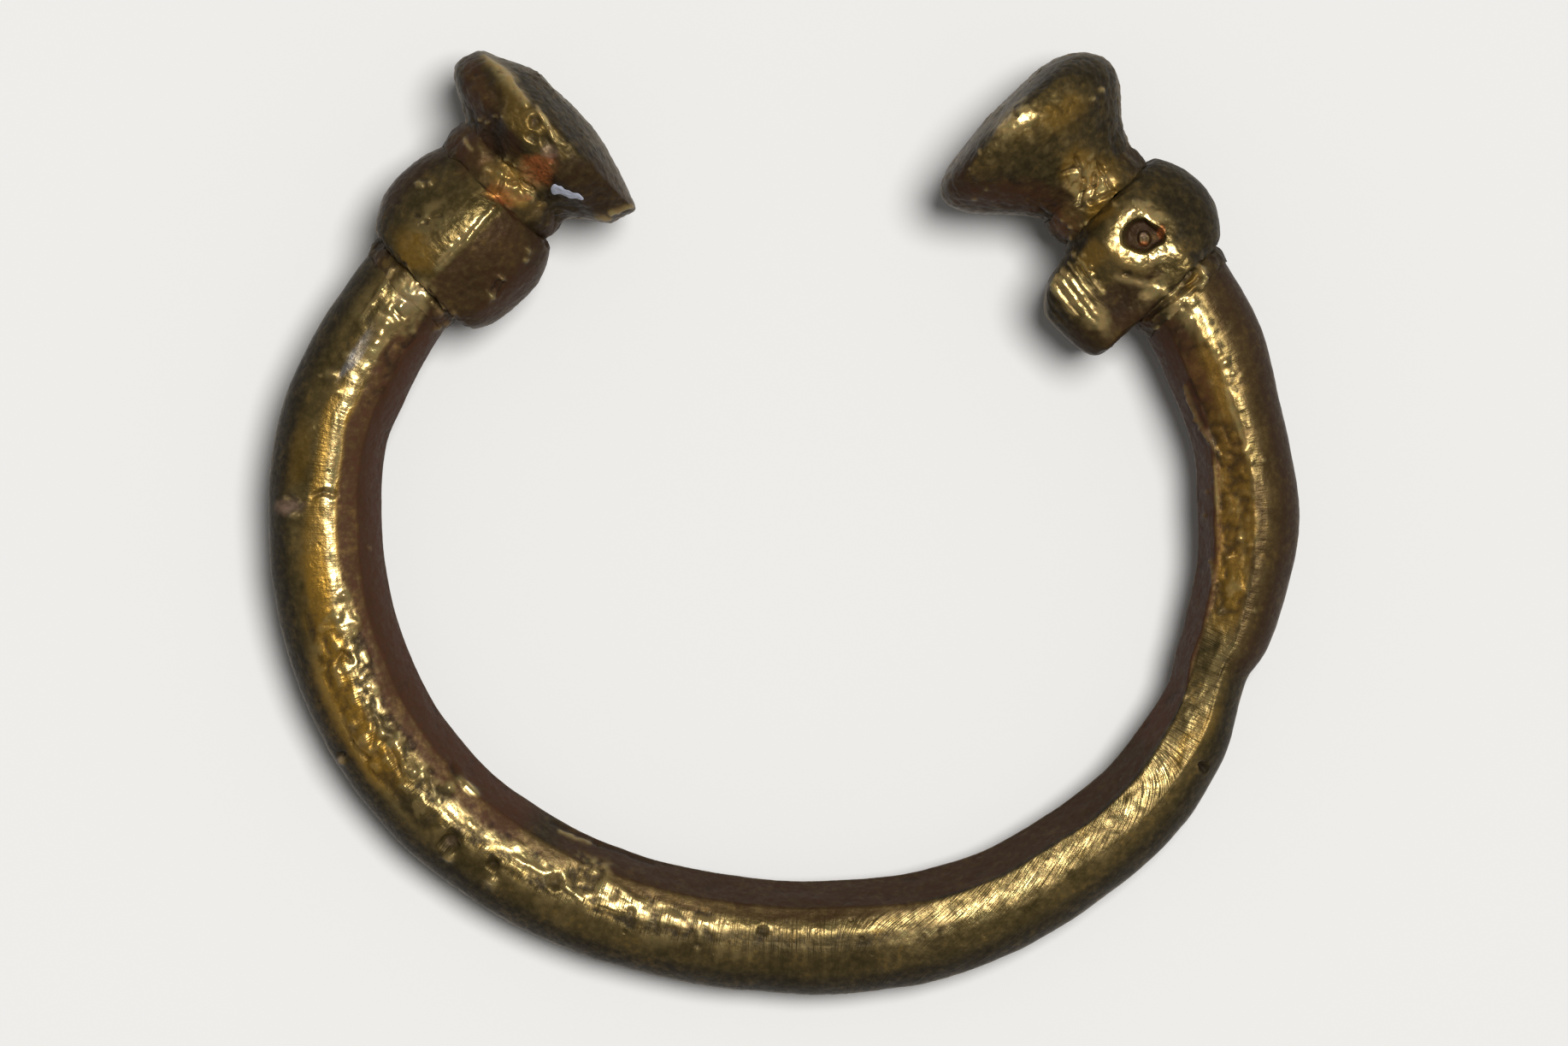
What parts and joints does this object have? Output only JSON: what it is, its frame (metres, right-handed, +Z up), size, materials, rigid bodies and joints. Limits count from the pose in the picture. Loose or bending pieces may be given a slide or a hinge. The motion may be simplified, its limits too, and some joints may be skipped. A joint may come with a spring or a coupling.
{
  "type": "finger ring",
  "caption": "Open finger ring of filed bronze bar with a chunky knob and a flared trumpet terminal on each end, and a ring-and-dot mark on one knob.",
  "frame": {"origin": "on the table the ring lies on, under the middle of its length and width", "axes": "+Z up out of the table and along the finger hole, +Y out through the gap between the terminals, +X towards the knob with the snout and the ring-and-dot mark"},
  "size_m": [0.0222, 0.0202, 0.0046],
  "materials": {
    "bronze_patina": "worn bronze under olive and brown patina",
    "bronze_worn": "worn bronze with rough casting skin",
    "cuprite_braze": "rough reddish brazing metal"
  },
  "bodies": {
    "root": {"hoop": "bronze_patina", "left_knob": "bronze_patina", "right_knob": "bronze_patina", "left_flared_terminal": "bronze_worn", "right_flared_terminal": "bronze_worn", "left_hoop_braze": "cuprite_braze", "right_hoop_braze": "cuprite_braze", "left_neck_braze": "cuprite_braze", "right_neck_braze": "cuprite_braze"}
  },
  "joints": []
}
